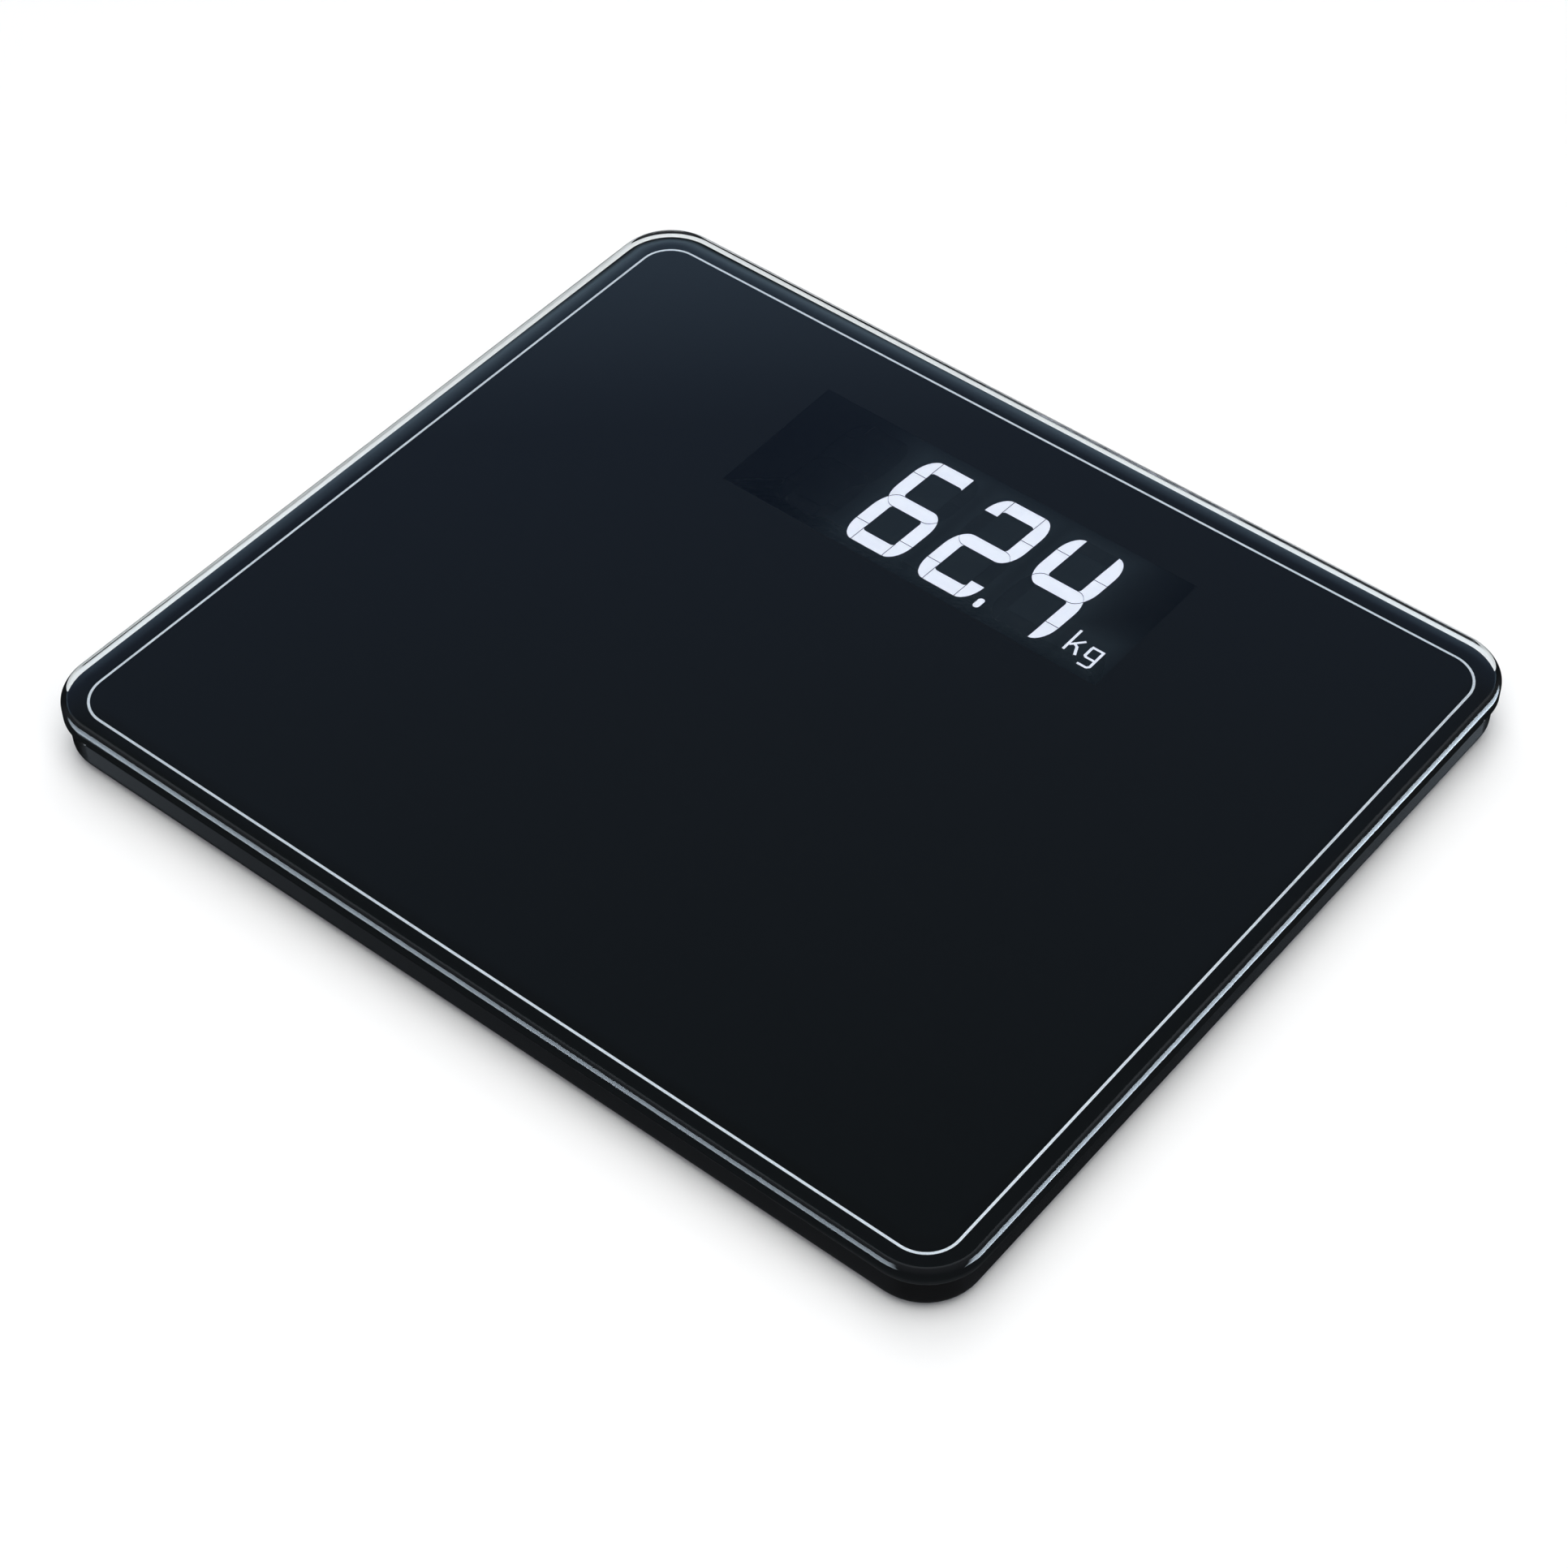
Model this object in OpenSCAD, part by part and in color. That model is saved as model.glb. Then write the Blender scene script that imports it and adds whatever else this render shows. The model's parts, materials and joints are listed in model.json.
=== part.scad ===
// Digital bathroom scale: a glass platform on a shallow moulded base, four load-cell feet,
// a lit weight display, a battery bay with a hinged door and a unit button underneath.
// Millimetres. The origin is on the standing surface under the centre of the platform.
// +X is the right side, +Y the back (the display side) and +Z up.

/* [Platform] */
// Width of the glass platform
platform_w = 350; // [330:1:380]
// Depth of the glass platform
platform_d = 300; // [290:1:330]
// Thickness of the glass
glass_t = 8; // [6:0.5:10]
// Corner radius of the glass
glass_corner_r = 20; // [16:1:24]
// Radius of the polished upper arris
upper_arris_r = 3; // [1:0.1:4]
// Width of the border where the glass falls away towards its edge
crown_w = 8; // [3:0.5:9]
// Slope of that border where it meets the upper arris, in degrees
crown_slope = 6; // [2:1:8]
// Radius of the polished lower arris
lower_arris_r = 0.5; // [0.3:0.1:1.2]

/* [Printing under the glass] */
// Thickness that the printed layers are drawn with
print_t = 0.2; // [0.1:0.05:0.3]
// Clear rim of glass left outside the black print
clear_rim = 1.8; // [0.8:0.1:2]
// Distance from the glass edge to the middle of the silver line
line_inset = 8.5; // [7:0.5:12]
// Width of the silver line
line_w = 0.8; // [0.6:0.1:1.5]

/* [Display] */
// Width of the display window
window_w = 149; // [146:1:152]
// Depth of the display window
window_d = 55.5; // [54:0.5:58]
// Distance of the window's centre behind the middle of the platform
window_y = 89; // [86:1:92]
// Height of a digit
digit_h = 46.5; // [44:0.5:48]
// Width of a digit
digit_w = 22.7; // [20:0.1:24]
// Distance from one digit to the next
digit_pitch = 28.9; // [27:0.1:29]
// Width of a digit's upright stroke
stroke_w = 5.1; // [4:0.1:6]
// Height of a digit's level stroke
stroke_h = 5.8; // [4:0.1:6.5]
// Sideways lean of a digit for each millimetre of height
lean = 0.05; // [0:0.01:0.1]

/* [Base] */
// How far the base's side stands in from the glass edge
base_inset = 1.5; // [1.5:0.5:5]
// Height of the base moulding
base_h = 11.8; // [11.8:0.1:13]
// Wall of the base moulding
wall = 2; // [1.8:0.1:2.5]
// Radius of the base's lower edge
base_edge_r = 3; // [2:0.5:3.5]
// Thickness of the bonding tape
tape_t = 0.5; // [0.3:0.1:1]

/* [Feet and load cells] */
// How far the feet stand below the base
foot_proud = 2.5; // [2:0.1:3]
// Sideways distance from the middle to a foot
foot_x = 134; // [128:1:136]
// Front-to-back distance from the middle to a foot
foot_y = 109; // [104:1:111]
// Radius of a foot
foot_r = 17; // [15:0.5:18]
// Side of a load-cell plate
cell_side = 34; // [32:1:35]
// Thickness of a load-cell plate
cell_t = 1.2; // [1:0.1:1.5]

/* [Battery bay] */
// Diameter of a cell
battery_dia = 10.4; // [10:0.1:10.4]
// Length of a cell with its nub
battery_len = 44.5; // [44:0.1:44.5]
// Distance from one cell to the next
battery_pitch = 11; // [10.8:0.1:11]
// Distance of the bay's centre in front of the middle
bay_y = -30; // [-40:1:-28]

/* [Hidden] */
$fn = 64;
eps = 0.01;
over = 1;
arc_steps = 7;
crown_steps = 4;
crown_drop = crown_w * tan(crown_slope) / 2;
glass_band = upper_arris_r + crown_w;

// Heights, from the standing surface upwards
base_z = foot_proud;
tape_z = base_z + base_h;
print_z = tape_z + tape_t;
glass_z = print_z + print_t;
floor_z = base_z + wall;

// Base outline
base_w = platform_w - 2 * base_inset;
base_d = platform_d - 2 * base_inset;
base_corner_r = glass_corner_r - base_inset;
base_band = wall + base_edge_r;
rim_chamfer = 0.4;
inner_fillet = 1.5;
ledge_t = 1.2;
ledge_root = 0.1;
rib_h = 2.5;
rib_t = 1.5;
rib_start = 60;
RIB_ROWS = [-70, 0, 45];
RIB_COLUMNS = [-60, 0, 60];
long_rib_x = 105;
long_rib_l = 150;
tape_w = 9;
tape_inset = 1.5;
groove_depth = 0.5;

// Feet: the flange keeps the foot in the base, and the post carries the load cell
foot_gap = 0.4;
foot_hole_r = foot_r + foot_gap;
foot_flange_r = foot_r + 3;
foot_flange_t = 1;
foot_lift = 0.2;
foot_post_r = 4;
foot_bottom_z = 0.9;
foot_edge_r = 1;
pad_r = 14;
pad_t = 1.6;
pad_fit = 0.1;
pad_bevel = 0.8;
pad_dish = 0.4;
pad_dish_r = 3.6;
pad_groove_w = 1;
pad_groove_depth = 0.5;
PAD_GROOVES = [6, 12];
collar_r = foot_flange_r + 1;
collar_t = 1.5;
recess_r = foot_hole_r + 6.5;
cell_z = floor_z + 4.5;
cell_corner_r = 3;
tongue_w = 14;
slot_w = 2;
slot_reach = 12;
seat_side = cell_side + 8;
seat_corner_r = 4;
seat_gap = 0.3;
lip_t = 0.6;
lip_reach = 1.2;
lip_w = 8;
lip_root = 2;
seat_z = cell_z - 0.1;
tongue_room = 1;
tongue_room_h = 3.4;
gauge_size = [8, 6, 0.4];

// Battery bay and door
bay_l = 52;
bay_w = 34;
bay_wall = 1.5;
bay_top_z = 14;
door_gap = 0.3;
door_l = 58;
door_w = 40;
door_t = 1.5;
door_corner_r = 2;
door_rebate_l = door_l + 2 * door_gap;
door_rebate_w = door_w + 2 * door_gap;
tab_x = 16;
tab_w = 8;
tab_t = 0.9;
tab_reach = 2.6;
tab_clear = 0.4;
tab_lift = 0.1;
tab_slot_l = tab_w + 2 * tab_clear;
tab_slot_d = (door_rebate_w - bay_w) / 2;
tab_swing_r = norm([tab_reach - door_gap, wall + tab_lift + tab_t]);
tab_room_d = tab_slot_d + tab_swing_r + tab_clear;
tab_room_top_z = base_z + tab_swing_r + tab_clear;
latch_w = 14;
latch_slit = 0.8;
latch_l = 6;
thumb_r = 9;
thumb_depth = 1.2;
grip_lines = 3;
grip_y = 1.6;
grip_pitch = 1.5;
grip_side = 0.6;
grip_inset = 3;
nose_inset = 4;
nose_drop = 0.4;
nose_t = 0.6;
tab_root = 1;
battery_lift = 0.15;
battery_z = base_z + door_t + battery_lift + battery_dia / 2;
nub_r = 1.9;
nub_l = 0.8;
contact_t = 0.4;
contact_w = 8.5;
contact_h = 7.5;
dimple_h = 1;
dimple_r = 2;
dimple_root_r = 2.8;
spring_wire_r = 0.35;
spring_coils = 4;
spring_rings = 12;
spring_root_r = 3.4;
spring_tip_r = 2.2;
spring_l = bay_l - 2 * contact_t - battery_len - dimple_h;
tail_w = 2.4;
tail_z = 7.6;
tail_out = 1.2;
tail_slot_w = 32;
tail_slot_h = 2.8;

// Main board, unit button and switch
board_size = [76, 28, 1.6];
board_y = 35;
board_z = 10.5;
post_r = 3;
post_dx = 33;
post_dy = 10;
button_x = 22;
button_r = 3.8;
button_gap = 0.2;
button_flange_r = 5.2;
button_flange_t = 0.8;
button_low_z = base_z + 0.2;
button_top_z = 6.2;
dish_r = 8;
dish_depth = 0.8;
button_collar_h = 2;
button_collar_t = 1.2;
button_chamfer = 0.4;
button_lift = 0.1;
plunger_depth = 1.8;
plunger_hold = 1;
switch_side = 6.2;
switch_z = 7.2;
plunger_r = 1.6;
plunger_gap = 0.08;
socket_size = [8, 9, 3.6];
socket_x = 33.5;
socket_wall = 1.2;
socket_shift = 2;
socket_drop = 0.9;
socket_mouth_h = 1.6;
chip_x = -6;
chip_size = [10, 10, 1.2];
chip_lift = 0.1;
chip_pins = 4;
pin_pitch = 0.95;
pin_size = [1.1, 0.4, 0.25];
part_pitch = 3.5;
PART_ROWS = [[4.5, -8, 5], [-27.5, 7, 4]];
small_part_size = [2, 1.25, 0.8];
crystal_at = [10, 4];
crystal_size = [5, 3.2, 1];
capacitor_at = [-20, -5];
capacitor_r = 2;
capacitor_h = 1.8;

// Screws
screw_r = 1.1;
screw_fit = 0.05;
screw_head_r = 2.3;
screw_head_h = 1.3;
screw_l = 5;
drive_w = 0.7;
drive_l = 1.3 * screw_head_r;
tip_room = 0.5;
through_gap = 0.2;

// Display module
frame_size = [162, 68];
frame_wall = 2;
frame_z = 5.8;
frame_floor_t = 1.2;
ear_l = 10;
ear_w = 9;
ear_z = 10;
ear_t = 2;
ear_dy = 22;
ear_post_r = 3.5;
vent_dx = 48;
vent_size = [36, 40];
ribbon_slot = [24, 4.4];
module_gap = 0.2;
dboard_z = frame_z + frame_floor_t;
dboard_t = 1.6;
reflector_z = dboard_z + dboard_t;
mask_t = 0.3;
mask_z = print_z - mask_t;
bar_z = reflector_z + 1.2;
module_inset = 2 * (frame_wall + module_gap);
module_size = [frame_size[0] - module_inset, frame_size[1] - module_inset];
led_size = [3, 1.4, 0.8];
LED_HEIGHTS = [15, 30];
first_digit_x = -58.7;
digit_low_y = window_y - 23.7;
loop_overlap = digit_h / 2 + stroke_h / 2;
upper_low = digit_h / 2 - stroke_h / 2;
corner_h = 9.1;
inner_r = 1.2;
gap = 0.14;
point_size = [2.4, 4.8];
point_x = 53.4;
sign_t = 1;
sign_x = 56.9;
KILOGRAM = [
    [0.5, 2.7, 0.5, 13], [0.9, 5.6, 4.6, 9.7], [1.6, 7, 3.4, 6.2], [3.4, 6.4, 5, 2.7],
    [7.6, 4.9, 7.6, 8.2], [7.3, 9, 12.2, 9], [7.8, 4.3, 11.9, 4.3], [7.4, 8, 8, 9],
    [7.4, 5.1, 8, 4.3], [11.7, 1.4, 11.7, 9.5], [7.4, 0.6, 11, 0.6], [10.8, 0.5, 11.8, 1.6]
];
ribbon_w = 20;
ribbon_t = 0.3;
RIBBON_Y = [66, 56.8, 50, 43];

// Wires
wire_r = 0.5;
wire_sides = 8;
wire_pitch = 1.15;
wire_z = 7.6;
wire_bend = 5;
bend_steps = 4;
lead_straight = 3;
leads_per_cell = 3;
lead_row_dy = 2.2;
front_lead_x = 95;
back_lead_x = 99;
BATTERY_LEAD = [[28.4, 0, 8.3], [28.9, 0, 8.8], [24, 16, 9.1], [20, 23, 9.4], [18, 26, 10]];

// The boxes [left, right, low, high] that cut a digit's two loops into light bars
l0 = -0.5;
l1 = stroke_w;
r0 = digit_w - stroke_w;
r1 = digit_w + 0.5;
under_v = -0.5;
over_v = digit_h + 0.5;
top_left_v = digit_h - corner_h;
top_right_v = digit_h - corner_h - 3.8;
UPPER = [
    ["top_left", [l0, l1, top_left_v, over_v]],
    ["top", [l1, r0, digit_h - stroke_h - inner_r, over_v]],
    ["top_right", [r0, r1, top_right_v, over_v]],
    ["upper_left", [l0, l1 + inner_r, upper_low, top_left_v]],
    ["upper_right", [r0 - inner_r, r1, upper_low, top_right_v]]
];
LOWER = [
    ["lower_left", [l0, l1 + inner_r, corner_h, loop_overlap]],
    ["lower_right", [r0 - inner_r, r1, corner_h, loop_overlap]],
    ["bottom_left", [l0, l1, under_v, corner_h]],
    ["bottom", [l1, r0, under_v, stroke_h + inner_r]],
    ["bottom_right", [r0, r1, under_v, corner_h]]
];
ALL_BARS = concat([for (s = concat(UPPER, LOWER)) s[0]], ["middle"]);
SIX = ["top_left", "top", "upper_left", "middle", "lower_left", "lower_right",
       "bottom_left", "bottom", "bottom_right"];
TWO = ["top_left", "top", "top_right", "upper_right", "middle", "lower_left",
       "bottom_left", "bottom", "bottom_right"];
FOUR = ["top_left", "upper_left", "middle", "top_right", "upper_right", "lower_right", "bottom_right"];

// ---- Helpers ----

// Points on an ellipse's arc about a centre
function arc(c, rx, ry, a0, a1, n = arc_steps) =
    [for (i = [0 : n]) [c[0] + rx * cos(a0 + (a1 - a0) * i / n), c[1] + ry * sin(a0 + (a1 - a0) * i / n)]];

// Rounded rectangle centred on the origin
module round_rect(w, d, r) {
    square([w - 2 * r, d], center = true);
    square([w, d - 2 * r], center = true);
    for (x = [-1, 1], y = [-1, 1])
        translate([x * (w / 2 - r), y * (d / 2 - r)])
            circle(r);
}

// Sweeps its section round a rounded rectangle: the section's x runs outwards from the
// corner's centre, and its y is the height
module sweep_round(w, d, r) {
    for (side = [0 : 3]) {
        run = side % 2 == 0 ? d - 2 * r : w - 2 * r;
        reach = side % 2 == 0 ? w / 2 - r : d / 2 - r;
        rotate(90 * side) translate([reach, 0, 0]) {
            rotate([90, 0, 0])
                linear_extrude(run, center = true)
                    children();
            translate([0, run / 2, 0])
                rotate_extrude(angle = 90)
                    children();
        }
    }
}

// Flat ring between two rounded rectangles
module flat_ring(w, d, r, band, t) {
    linear_extrude(t) difference() {
        round_rect(w, d, r);
        round_rect(w - 2 * band, d - 2 * band, r - band);
    }
}

// Pan-head screw with a cross recess, its head sitting on z = 0
module screw(l) {
    difference() {
        union() {
            cylinder(h = screw_head_h, r = screw_head_r);
            translate([0, 0, -l])
                cylinder(h = l + eps, r = screw_r);
        }
        for (a = [0, 90])
            rotate(a)
                translate([0, 0, screw_head_h])
                    cube([drive_l, drive_w, screw_head_h], center = true);
    }
}

// Round tube swept along a list of points
function unit(v) = v / norm(v);
function heading(p, i) = unit(p[min(i + 1, len(p) - 1)] - p[max(i - 1, 0)]);
function ring_side(p, i, up) = unit(cross(up, heading(p, i)));
function ring_up(p, i, up) = cross(heading(p, i), ring_side(p, i, up));
function tube_points(p, r, up) = [
    for (i = [0 : len(p) - 1], k = [0 : wire_sides - 1])
        let (a = 360 * k / wire_sides)
        p[i] + r * (cos(a) * ring_side(p, i, up) + sin(a) * ring_up(p, i, up))
];
function tube_faces(n) = concat(
    [[for (k = [0 : wire_sides - 1]) k]],
    [[for (k = [wire_sides - 1 : -1 : 0]) (n - 1) * wire_sides + k]],
    [for (i = [0 : n - 2], k = [0 : wire_sides - 1])
        let (next = (k + 1) % wire_sides)
        [i * wire_sides + k, (i + 1) * wire_sides + k,
         (i + 1) * wire_sides + next, i * wire_sides + next]]
);
module tube(p, r, up = [0, 0, 1])
    polyhedron(points = tube_points(p, r, up), faces = tube_faces(len(p)), convexity = 8);

// Rounds the corners of a route of straight runs in one level
function bend_at(a, b, c, r) =
    let (u = unit(b - a), v = unit(c - b), start = b - r * u, stop = b + r * v)
    [for (i = [0 : bend_steps])
        let (t = i / bend_steps)
        (1 - t) * (1 - t) * start + 2 * t * (1 - t) * b + t * t * stop];
function rounded_route(p, r) = concat(
    [p[0]],
    [for (i = [1 : len(p) - 2]) each bend_at(p[i - 1], p[i], p[i + 1], r)],
    [p[len(p) - 1]]
);

// ---- Platform ----

// The top of the glass from the upper arris inwards: its slope fades out over the border
function crown(x) = [
    for (i = [1 : crown_steps])
        let (t = 1 - i / crown_steps)
        [x - crown_w * (1 - t), glass_t - crown_drop * t * t]
];

function glass_section() = concat(
    [[glass_corner_r - glass_band, 0]],
    arc([glass_corner_r - lower_arris_r, lower_arris_r], lower_arris_r, lower_arris_r, -90, 0),
    arc([glass_corner_r - upper_arris_r, glass_t - crown_drop - upper_arris_r * cos(crown_slope)],
        upper_arris_r, upper_arris_r, 0, 90 - crown_slope),
    crown(glass_corner_r - upper_arris_r * (1 - sin(crown_slope))),
    [[glass_corner_r - glass_band, glass_t]]
);

module glass_platform() {
    color([0.55, 0.62, 0.68, 0.5])
        translate([0, 0, glass_z]) {
            linear_extrude(glass_t)
                round_rect(platform_w - 2 * glass_band, platform_d - 2 * glass_band,
                           glass_corner_r - glass_band);
            sweep_round(platform_w, platform_d, glass_corner_r)
                polygon(glass_section());
        }
}

module line_outline(offset_out) {
    inset = line_inset - offset_out;
    round_rect(platform_w - 2 * inset, platform_d - 2 * inset, glass_corner_r - inset);
}

module back_print() {
    color([0.08, 0.09, 0.11])
        translate([0, 0, print_z])
            linear_extrude(print_t) {
                difference() {
                    round_rect(platform_w - 2 * clear_rim, platform_d - 2 * clear_rim,
                               glass_corner_r - clear_rim);
                    line_outline(line_w / 2);
                }
                difference() {
                    line_outline(-line_w / 2);
                    translate([0, window_y])
                        square([window_w, window_d], center = true);
                }
            }
}

module silver_pinline() {
    color([0.75, 0.8, 0.85])
        translate([0, 0, print_z])
            linear_extrude(print_t) difference() {
                line_outline(line_w / 2);
                line_outline(-line_w / 2);
            }
}

module display_window() {
    color([0.05, 0.07, 0.08, 0.6])
        translate([-window_w / 2, window_y - window_d / 2, print_z])
            cube([window_w, window_d, print_t]);
}

module bonding_tape() {
    color([0.12, 0.12, 0.12])
        translate([0, 0, tape_z])
            flat_ring(base_w - 2 * tape_inset, base_d - 2 * tape_inset,
                      base_corner_r - tape_inset, tape_w, tape_t);
}

// ---- Base ----

function base_section() = concat(
    [[base_corner_r - base_band, 0]],
    arc([base_corner_r - base_edge_r, base_edge_r], base_edge_r, base_edge_r, -90, 0),
    [[base_corner_r, base_h - rim_chamfer], [base_corner_r - rim_chamfer, base_h]],
    [[base_corner_r - wall, base_h], [base_corner_r - wall, wall + inner_fillet]],
    [[base_corner_r - wall - inner_fillet, wall], [base_corner_r - base_band, wall]]
);

module at_feet()
    for (x = [-1, 1], y = [-1, 1])
        translate([x * foot_x, y * foot_y, 0])
            children();

module at_board_posts()
    for (x = [-1, 1], y = [-1, 1])
        translate([x * post_dx, board_y + y * post_dy, 0])
            children();

module at_display_ears()
    for (x = [-1, 1], y = [-1, 1])
        translate([x * (frame_size[0] / 2 + ear_l / 2), window_y + y * ear_dy, 0])
            children();

// A ledge inside the rim that the tape sticks to
module rim_ledge() {
    edge = wall - ledge_root;
    translate([0, 0, tape_z - ledge_t])
        flat_ring(base_w - 2 * edge, base_d - 2 * edge, base_corner_r - edge,
                  tape_inset + tape_w - wall, ledge_t);
}

module ribs() {
    half_w = base_w / 2 - wall;
    half_d = base_d / 2 - wall;
    translate([0, 0, floor_z + rib_h / 2]) {
        for (y = RIB_ROWS, side = [-1, 1])
            translate([side * (half_w + rib_start) / 2, y, 0])
                cube([half_w - rib_start, rib_t, rib_h], center = true);
        for (x = RIB_COLUMNS)
            translate([x, -(half_d + rib_start) / 2, 0])
                cube([rib_t, half_d - rib_start, rib_h], center = true);
        for (side = [-1, 1])
            translate([side * long_rib_x, 0, 0])
                cube([rib_t, long_rib_l, rib_h], center = true);
    }
}

module bay_walls()
    translate([0, bay_y, floor_z - eps])
        linear_extrude(bay_top_z - floor_z) difference() {
            square([bay_l + 2 * bay_wall, bay_w + 2 * bay_wall], center = true);
            square([bay_l, bay_w], center = true);
        }

// Closed pockets that the door's tabs swing in, so that the bay doesn't open into the body
module tab_pockets()
    for (x = [-tab_x, tab_x])
        translate([x - tab_slot_l / 2 - bay_wall, bay_y + bay_w / 2, floor_z - eps])
            cube([tab_slot_l + 2 * bay_wall, tab_room_d + bay_wall, tab_room_top_z + bay_wall - floor_z]);

module bay_cuts() {
    translate([0, bay_y, base_z - eps])
        linear_extrude(door_t + eps)
            round_rect(door_rebate_l, door_rebate_w, door_corner_r);
    translate([0, bay_y, base_z + wall])
        cube([bay_l, bay_w, 2 * wall], center = true);
    // Slots that the door's tabs hook through, and the room they swing in
    for (x = [-tab_x, tab_x])
        translate([x - tab_slot_l / 2, bay_y + bay_w / 2 - eps, 0]) {
            translate([0, 0, base_z + door_t - eps])
                cube([tab_slot_l, tab_slot_d + eps, tab_room_top_z - base_z - door_t]);
            translate([0, 0, floor_z])
                cube([tab_slot_l, tab_room_d + eps, tab_room_top_z - floor_z]);
        }
    // Slots for the contacts' tails
    for (side = [-1, 1])
        translate([side * (bay_l + bay_wall) / 2, bay_y, tail_z])
            cube([2 * bay_wall, tail_slot_w, tail_slot_h], center = true);
    // Thumb recess in front of the latch
    translate([0, bay_y - door_rebate_w / 2, base_z - eps])
        cylinder(h = thumb_depth, r = thumb_r);
}

module base_tray() {
    color([0.13, 0.13, 0.14]) difference() {
        union() {
            translate([0, 0, base_z]) {
                linear_extrude(wall)
                    round_rect(base_w - 2 * base_band, base_d - 2 * base_band, base_corner_r - base_band);
                sweep_round(base_w, base_d, base_corner_r)
                    polygon(base_section());
            }
            rim_ledge();
            ribs();
            bay_walls();
            tab_pockets();
            at_feet()
                translate([0, 0, floor_z - eps])
                    cylinder(h = rib_h, r = collar_r + collar_t);
            at_board_posts()
                translate([0, 0, floor_z - eps])
                    cylinder(h = board_z - floor_z + eps, r = post_r);
            at_display_ears()
                translate([0, 0, floor_z - eps])
                    cylinder(h = ear_z - floor_z + eps, r = ear_post_r);
            translate([button_x, board_y, floor_z - eps])
                cylinder(h = button_collar_h, r = button_flange_r + button_gap + button_collar_t);
        }
        at_feet() {
            translate([0, 0, base_z - eps])
                cylinder(h = base_h, r = foot_hole_r);
            translate([0, 0, floor_z])
                cylinder(h = base_h, r = collar_r);
            translate([0, 0, base_z - eps])
                cylinder(h = groove_depth, r = recess_r);
        }
        bay_cuts();
        translate([button_x, board_y, 0]) {
            cylinder(h = base_h, r = button_r + button_gap);
            translate([0, 0, base_z - eps])
                cylinder(h = dish_depth, r = dish_r);
            translate([0, 0, floor_z])
                cylinder(h = base_h, r = button_flange_r + button_gap);
        }
        at_board_posts()
            translate([0, 0, board_z - screw_l])
                cylinder(h = screw_l + over, r = screw_r + screw_fit);
        at_display_ears()
            translate([0, 0, ear_z + ear_t - screw_l - tip_room])
                cylinder(h = screw_l + over, r = screw_r + screw_fit);
    }
}

// ---- Battery bay ----

module battery_door() {
    low_y = -door_w / 2;
    color([0.11, 0.11, 0.12])
        translate([0, bay_y, base_z]) {
            difference() {
                linear_extrude(door_t)
                    round_rect(door_l, door_w, door_corner_r - door_gap);
                // Slits that free the latch finger
                for (side = [-1, 1])
                    translate([side * (latch_w + latch_slit) / 2, low_y + latch_l / 2, door_t / 2])
                        cube([latch_slit, latch_l, 3 * door_t], center = true);
                // Grip lines on the latch finger
                for (i = [0 : grip_lines - 1])
                    translate([0, low_y + grip_y + grip_pitch * i, 0])
                        cube([latch_w - grip_inset, grip_side, grip_side], center = true);
            }
            // Snap nose inside the clearance
            translate([0, low_y - door_gap / 3, door_t - nose_drop])
                cube([latch_w - nose_inset, 2 * door_gap / 3, nose_t], center = true);
            for (x = [-tab_x, tab_x])
                translate([x - tab_w / 2, door_w / 2 - tab_root, door_t - eps]) {
                    cube([tab_w, tab_root, wall - door_t + tab_lift + tab_t]);
                    translate([0, 0, wall - door_t + tab_lift])
                        cube([tab_w, tab_root + tab_reach, tab_t]);
                }
        }
}

// A cell lying along X: with facing 1 its nub points to +X
module battery(row, facing) {
    low = -facing * (bay_l / 2 - contact_t - spring_l);
    translate([low, bay_y + row * battery_pitch, battery_z])
        rotate([0, facing * 90, 0]) {
            cylinder(h = battery_len - nub_l, r = battery_dia / 2);
            cylinder(h = battery_len, r = nub_r);
        }
}

module battery_front() color([0.2, 0.45, 0.75]) battery(-1, 1);
module battery_middle() color([0.2, 0.45, 0.75]) battery(0, -1);
module battery_back() color([0.2, 0.45, 0.75]) battery(1, 1);

// Conical spring from the contact plate at the -X end towards +X
module cell_spring() {
    n = spring_coils * spring_rings;
    run = spring_l - 2 * spring_wire_r;
    path = [for (i = [0 : n])
        let (t = i / n, r = spring_root_r + (spring_tip_r - spring_root_r) * t, a = 360 * i / spring_rings)
        [spring_wire_r * 0.9 + run * t, r * cos(a), r * sin(a)]];
    tube(path, spring_wire_r, [1, 0, 0]);
}

// Contact plate on the end wall; side is -1 at the left end, rows are the cells it joins
module contact_plate(side, row_low, row_high, tail_row) {
    w = (row_high - row_low) * battery_pitch + contact_w;
    mid = (row_low + row_high) / 2 * battery_pitch;
    translate([side * (bay_l / 2 - contact_t / 2), bay_y + mid, battery_z])
        cube([contact_t, w, contact_h], center = true);
    if (tail_row != undef)
        translate([side * (bay_l - contact_t + bay_wall + tail_out) / 2,
                   bay_y + tail_row * battery_pitch, tail_z])
            cube([bay_wall + contact_t + tail_out, tail_w, contact_t], center = true);
}

module contact_dimple(side, row)
    translate([side * (bay_l / 2 - contact_t + eps), bay_y + row * battery_pitch, battery_z])
        rotate([0, -side * 90, 0])
            cylinder(h = dimple_h + eps, r1 = dimple_root_r, r2 = dimple_r);

module contact_spring(side, row)
    translate([side * (bay_l / 2 - contact_t), bay_y + row * battery_pitch, battery_z])
        rotate([0, 0, side < 0 ? 0 : 180])
            cell_spring();

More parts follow.
